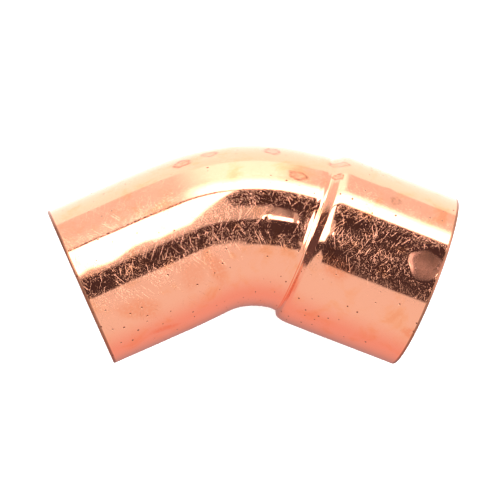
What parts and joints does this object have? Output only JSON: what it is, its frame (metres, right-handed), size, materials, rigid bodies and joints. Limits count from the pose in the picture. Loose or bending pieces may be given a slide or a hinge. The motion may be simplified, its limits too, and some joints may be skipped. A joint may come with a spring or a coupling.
{
  "type": "pipe elbow",
  "caption": "Copper solder-joint street elbow, bent forty-five degrees: a plain tube end that enters a fitting, and an expanded socket with a rolled tube stop.",
  "frame": {"origin": "centre of the socket's mouth, on the socket's axis", "axes": "+X along the socket's axis, out of its mouth; the bend lies in the XY plane and turns the plain end towards -X -Y; +Z is square to the bend, and Z = 0 is the plane of symmetry, so the part lies flat on its side"},
  "size_m": [0.0796, 0.0585, 0.0376],
  "materials": {
    "copper": null
  },
  "bodies": {
    "root": {"elbow_body": "copper"}
  },
  "joints": []
}
